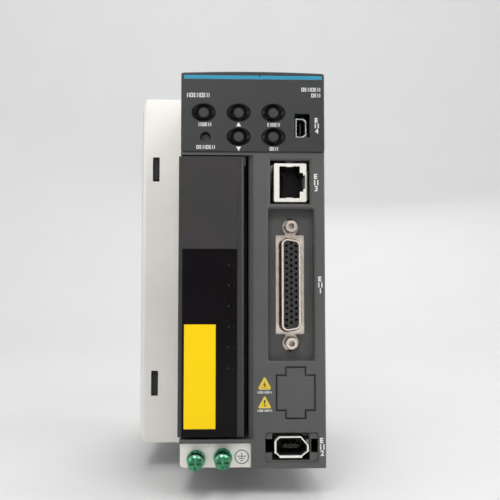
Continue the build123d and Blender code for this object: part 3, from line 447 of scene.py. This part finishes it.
def printed(name, outlines, face_y, material, body="chassis", lift=0.0):
    """Thin raised print on a front face; each outline is a list of X, Z points in order."""
    mesh = bpy.data.meshes.new(name)
    work = bmesh.new()
    back, front = face_y - lift, face_y - lift - INK
    for points in outlines:
        rear = [work.verts.new((x, back, z)) for x, z in points]
        fore = [work.verts.new((x, front, z)) for x, z in points]
        work.faces.new(fore)
        work.faces.new(rear[::-1])
        count = len(points)
        for index in range(count):
            after = (index + 1) % count
            work.faces.new((rear[index], rear[after], fore[after], fore[index]))
    bmesh.ops.recalc_face_normals(work, faces=work.faces)
    work.to_mesh(mesh)
    work.free()
    return add_piece(name, mesh, material, body)


def rectangle(x, z, width, height):
    """Outline of a rectangle about its middle, in metres."""
    w, h = width / 2, height / 2
    return [(x - w, z - h), (x + w, z - h), (x + w, z + h), (x - w, z + h)]


def block_mark(x, z, width, height, kind):
    """One caption mark built of bars: 0 a hollow block, 1 a pair of bars, 2 a barred block."""
    thickness = 0.27                   # of a bar, as a share of the mark's smaller side
    bar = min(width, height) * thickness
    side = width / 2 - bar / 2
    if kind == 1:
        return [rectangle(x - side, z, bar, height), rectangle(x + side, z, bar, height)]
    end = height / 2 - bar / 2
    inner = width - 2 * bar
    bars = [
        rectangle(x - side, z, bar, height),
        rectangle(x, z + end, inner, bar),
        rectangle(x, z - end, inner, bar),
    ]
    if kind == 0:
        bars.append(rectangle(x + side, z, bar, height))
    else:
        bars.append(rectangle(x, z, inner, bar))
    return bars


def caption(x, z, count, width, height):
    """A row of bar marks that stands for a caption, centred on x, z. Sizes in millimetres."""
    pitch = width / count * MM
    first = x - pitch * (count - 1) / 2
    marks = []
    for index in range(count):
        marks += block_mark(first + index * pitch, z, pitch * 0.80, height * MM, (index * 2 + count) % 3)
    return marks


def triangle(x, z, size, direction):
    """Arrowhead that points up or down."""
    half = size * MM / 2
    foot = z - direction * half * 0.8
    return [(x - half, foot), (x + half, foot), (x, z + direction * half)]


def disc(x, z, radius, steps=32):
    """Outline of a circle."""
    turn = 2 * math.pi / steps
    return [(x + radius * math.cos(turn * i), z + radius * math.sin(turn * i)) for i in range(steps)]


def ring(x, z, outer, inner, steps=40):
    """Annulus as a run of short quadrilaterals."""
    turn = 2 * math.pi / steps
    cells = []
    for index in range(steps):
        a, b = turn * index, turn * (index + 1)
        cells.append([
            (x + inner * math.cos(a), z + inner * math.sin(a)),
            (x + outer * math.cos(a), z + outer * math.sin(a)),
            (x + outer * math.cos(b), z + outer * math.sin(b)),
            (x + inner * math.cos(b), z + inner * math.sin(b)),
        ])
    return cells


def middle(node):
    """Middle of a CAD piece's box."""
    low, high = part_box(node)
    return (low + high) / 2


def digit(name, text, x, z, height, face_y):
    """A printed numeral, as a solid mesh."""
    curve = bpy.data.curves.new(name, "FONT")
    curve.body = text
    curve.size = height * MM * NUMERAL_GAIN
    curve.align_x = "CENTER"
    curve.align_y = "CENTER"
    curve.extrude = INK / 2
    curve.offset = NUMERAL_BOLD
    made = bpy.data.objects.new(name, curve)
    bpy.context.scene.collection.objects.link(made)
    mesh = bpy.data.meshes.new_from_object(made)
    bpy.data.objects.remove(made)
    for vertex in mesh.vertices:
        across, up, out = vertex.co
        vertex.co = (x + across, face_y - INK / 2 - out, z + up)
    mesh.flip_normals()
    return add_piece(name, mesh, WHITE_INK, "chassis")


def panel_marks():
    """Captions and arrows of the key panel."""
    low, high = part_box("control_panel")
    marks = []
    key_drop = 4.9 * MM
    key_height = 1.45
    # button, number of marks, width of the caption, and how far it sits to the right
    rows = (("button_mode", 4, 5.3, 0.5), ("button_shift", 5, 5.2, 0.1), ("button_set", 3, 3.6, 0.1))
    for node, count, width, aside in rows:
        spot = middle(node)
        marks += caption(spot.x + aside * MM, spot.z - key_drop, count, width, key_height)
    lamp = middle("charge_lamp")
    marks += caption(lamp.x + 0.1 * MM, lamp.z - 4.1 * MM, 6, 7.7, 1.5)
    for node, direction in (("button_up", 1), ("button_down", -1)):
        spot = middle(node)
        marks.append(triangle(spot.x, spot.z - 4.85 * MM, 2.0, direction))
    marks += caption(low.x + 6.9 * MM, high.z - 9.9 * MM, 7, 9.3, 1.75)
    marks += caption(high.x - 5.5 * MM, high.z - 7.3 * MM, 6, 7.9, 1.55)
    marks += caption(high.x - 3.5 * MM, high.z - 9.7 * MM, 3, 3.9, 1.55)
    printed("panel_marks", marks, low.y, WHITE_INK)


def port_marks():
    """A numeral under two marks beside each socket."""
    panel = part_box("control_panel")[0].y
    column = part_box("front_housing")[0].y
    # numeral, socket, face it is printed on, X, rise from the socket's middle, height of a mark
    places = (
        ("4", "usb_shell", panel, 25.9, 0.85, 1.9),
        ("3", "rj45_shell", column, 25.65, -0.1, 2.1),
        ("1", "jack_posts", column, 27.1, -0.15, 2.0),
        ("2", "encoder_shell", column, 27.45, 0.05, 2.1),
    )
    spacing = 1.2
    for text, node, face, x, lift, size in places:
        x *= MM
        z = middle(node).z + lift * MM
        step = size * spacing * MM
        digit("port_numeral_" + text, text, x, z - step, size, face)
        stack = block_mark(x, z + step, size * 0.85 * MM, size * MM, 2)
        stack += block_mark(x, z, size * 0.85 * MM, size * MM, 1)
        printed("port_marks_" + text, stack, face, WHITE_INK)


def warning_marks():
    """Pale borders and generic symbols of the two warning triangles."""
    low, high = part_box("warning_triangles")
    size = 5.05 * MM
    half = 2.8 * MM
    x = (low.x + high.x) / 2
    borders, symbols, captions = [], [], []
    for base in (low.z, high.z - size):
        corners = [
            (x - half + 0.62 * MM, base + 0.08 * MM),
            (x + half - 0.62 * MM, base + 0.08 * MM),
            (x, base + size - 0.45 * MM),
        ]
        centre = (x, base + size * 0.37)
        for index in range(3):
            a, b = corners[index], corners[(index + 1) % 3]
            inner = [tuple(centre[k] + (p[k] - centre[k]) * 0.87 for k in (0, 1)) for p in (a, b)]
            borders.append([a, b, inner[1], inner[0]])
        captions += caption(x, base - 0.95 * MM, 7, 5.9, 0.85)
    upper = high.z - size
    flash = ((0.15, 3.3), (-0.65, 1.75), (-0.05, 1.85), (-0.30, 0.65), (0.65, 2.2), (0.05, 2.1))
    symbols.append([(x + across * MM, upper + up * MM) for across, up in flash])
    lower = low.z
    stroke = ((-0.16, 1.55), (0.16, 1.55), (0.32, 3.2), (-0.32, 3.2))
    symbols.append([(x + across * MM, lower + up * MM) for across, up in stroke])
    symbols.append(disc(x, lower + 1.0 * MM, 0.3 * MM, 16))
    printed("warning_borders", borders, low.y, PALE_INK)
    printed("warning_symbols", symbols, low.y, DARK_INK)
    printed("warning_captions", captions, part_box("front_housing")[0].y, WHITE_INK)


def earth_mark():
    """Ring and earth bars printed on the ground plate's disc."""
    low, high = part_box("earth_disc")
    x, z = (low.x + high.x) / 2, (low.z + high.z) / 2
    radius = (high.x - low.x) / 2
    lines = ring(x, z, radius * 0.99, radius * 0.86)
    lines.append(rectangle(x, z + 0.75 * MM, 0.3 * MM, 2.0 * MM))
    for drop, width in ((0.25, 3.3), (-0.65, 2.2), (-1.5, 1.1)):
        lines.append(rectangle(x, z + drop * MM, width * MM, 0.32 * MM))
    printed("earth_symbol", lines, low.y, GREY_INK)


def cover_marks():
    """Faint witness dots in pairs down the cover."""
    low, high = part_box("cover_sheet")
    strong, faint = [], []
    count, first, pitch = 8, 10.0, 8.22
    for index in range(count):
        z = high.z + (first - index * pitch) * MM
        strong.append(disc(high.x - 3.4 * MM, z, 0.36 * MM, 16))
        faint.append(disc(high.x - 1.2 * MM, z, 0.24 * MM, 12))
    printed("cover_dots", strong, low.y, DOT_INK, "cover")
    printed("cover_specks", faint, low.y, SPECK_INK, "cover")


def terminal_marks():
    """Numerals between the wire entries and the driver holes."""
    counts = {"supply": 5, "brake": 3, "motor": 4}
    height = 1.5
    for name, count in counts.items():
        low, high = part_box(name + "_terminal")
        pitch = (high.z - low.z - 1.6 * MM) / count
        x = low.x + 9.1 * MM
        for index in range(count):
            z = low.z + 0.8 * MM + (index + 0.5) * pitch
            digit(f"{name}_numeral_{index + 1}", str(index + 1), x, z, height, low.y)


def rating_marks():
    """Blank table lines on the side label."""
    low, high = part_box("rating_plate")
    mesh = bpy.data.meshes.new("rating_lines")
    work = bmesh.new()
    margin, half = 2 * MM, 0.12 * MM
    rows, column = 5, 0.42
    y0, y1, z0, z1 = low.y + margin, high.y - margin, low.z + margin, high.z - margin
    levels = [z0 + (z1 - z0) * k / rows for k in range(rows + 1)]
    boxes = [(y0, y1, z - half, z + half) for z in levels]
    for y in (y0, y0 + (y1 - y0) * column, y1):
        boxes.append((y - half, y + half, z0, z1))
    for a, b, c, d in boxes:
        made = bmesh.ops.create_cube(work, size=1.0)["verts"]
        for vertex in made:
            vertex.co.x = high.x + (vertex.co.x + 0.5) * INK
            vertex.co.y = (a + b) / 2 + vertex.co.y * (b - a)
            vertex.co.z = (c + d) / 2 + vertex.co.z * (d - c)
    work.to_mesh(mesh)
    work.free()
    add_piece("rating_lines", mesh, DARK_INK, "chassis")


def drawn_radius():
    """Concave radius where the signal socket's shell rises from its flange, as one closed ring; its dark
    metal colour is a painted dark reflection.
    """
    low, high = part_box("signal_socket_shell")
    flange = high.y - SOCKET_FLANGE
    front = low.y + 0.01 * MM
    steps, digits = 6, 6
    points = nodes["signal_socket_shell"].data.vertices
    rim = sorted({(round(v.co.x, digits), round(v.co.z, digits)) for v in points if v.co.y < front})
    loop = [Vector(rim[index]) for index in convex_hull_2d(rim)]
    centre = sum(loop, Vector((0.0, 0.0))) / len(loop)
    work = bmesh.new()
    rows = []
    for index, point in enumerate(loop):
        along = (loop[(index + 1) % len(loop)] - loop[index - 1]).normalized()
        out = Vector((along.y, -along.x))
        if out.dot(point - centre) < 0:
            out.negate()
        section = [(-DRAWN_BITE, DRAWN_BITE), (-DRAWN_BITE, -DRAWN_RADIUS)]
        for step in range(steps + 1):
            angle = math.pi / 2 * step / steps
            section.append((DRAWN_RADIUS * (1 - math.cos(angle)), -DRAWN_RADIUS * (1 - math.sin(angle))))
        section.append((DRAWN_RADIUS, DRAWN_BITE))
        row = []
        for aside, rise in section:
            spot = point + out * aside
            row.append(work.verts.new((spot.x, flange + rise, spot.y)))
        rows.append(row)
    for index, row in enumerate(rows):
        following = rows[(index + 1) % len(rows)]
        for step in range(len(row)):
            after = (step + 1) % len(row)
            work.faces.new((row[step], following[step], following[after], row[after]))
    bmesh.ops.recalc_face_normals(work, faces=work.faces)
    mesh = bpy.data.meshes.new("socket_drawn_radius")
    work.to_mesh(mesh)
    work.free()
    for face in mesh.polygons:
        face.use_smooth = True
    add_piece("socket_drawn_radius", mesh, DRAWN, "chassis")


# ------------------------------------------------------------------ studio
def area_light(name, place, size, watts, target, colour):
    """Round soft light that points from place to target."""
    lamp = bpy.data.lights.new(name, "AREA")
    lamp.shape = "DISK"
    lamp.size = size
    lamp.energy = watts
    lamp.color = colour
    made = bpy.data.objects.new(name, lamp)
    bpy.context.scene.collection.objects.link(made)
    made.location = place
    made.rotation_euler = (Vector(target) - Vector(place)).to_track_quat("-Z", "Y").to_euler()
    made.visible_camera = False


def backdrop():
    """Pale floor that curves up into a wall all round, as one surface of revolution."""
    centre, flat, bend, height = 0.2, 0.75, 0.9, 2.6
    steps, segments, weld = 16, 96, 1e-5
    profile = [(0.0, 0.0), (centre, 0.0), (flat, 0.0)]
    for index in range(1, steps + 1):
        angle = math.pi / 2 * index / steps
        profile.append((flat + bend * math.sin(angle), bend * (1 - math.cos(angle))))
    profile.append((flat + bend, height))
    mesh = bpy.data.meshes.new("backdrop")
    work = bmesh.new()
    chain = [work.verts.new((r, 0.0, z)) for r, z in profile]
    edges = [work.edges.new(pair) for pair in zip(chain, chain[1:])]
    bmesh.ops.spin(
        work, geom=chain + edges, cent=(0, 0, 0), axis=(0, 0, 1), angle=2 * math.pi, steps=segments,
        use_merge=True)
    bmesh.ops.remove_doubles(work, verts=work.verts, dist=weld)
    bmesh.ops.recalc_face_normals(work, faces=work.faces)
    work.to_mesh(mesh)
    work.free()
    for face in mesh.polygons:
        face.use_smooth = True
    made = bpy.data.objects.new("backdrop", mesh)
    bpy.context.scene.collection.objects.link(made)
    made.location.z = CAD_BOX[0][2] - 0.2 * MM
    mesh.materials.append(floor_paper())


def studio():
    """Pale backdrop and soft lights."""
    backdrop()
    for light in LIGHTS:
        area_light(*light)
    world = bpy.data.worlds.new("studio")
    bpy.context.scene.world = world
    world.use_nodes = True
    ambient = world.node_tree.nodes["Background"]
    ambient.inputs["Color"].default_value = AMBIENT_COLOUR
    ambient.inputs["Strength"].default_value = AMBIENT_STRENGTH
    bpy.context.scene.view_settings.view_transform = "Standard"


def camera():
    """Close view of the front, level with the lower half and tilted a little upward."""
    data = bpy.data.cameras.new("camera")
    data.sensor_width = SENSOR
    data.lens = FOCAL_LENGTH
    data.clip_start = 0.01
    made = bpy.data.objects.new("camera", data)
    bpy.context.scene.collection.objects.link(made)
    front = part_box("front_housing")[0].y
    made.location = (CAMERA_X, front - CAMERA_DISTANCE, CAMERA_Z)
    made.rotation_euler = Vector(CAMERA_FORWARD).to_track_quat("-Z", "Y").to_euler()
    bpy.context.scene.camera = made


camera()
finish_nodes()
panel_marks()
port_marks()
warning_marks()
earth_mark()
cover_marks()
terminal_marks()
rating_marks()
drawn_radius()
studio()
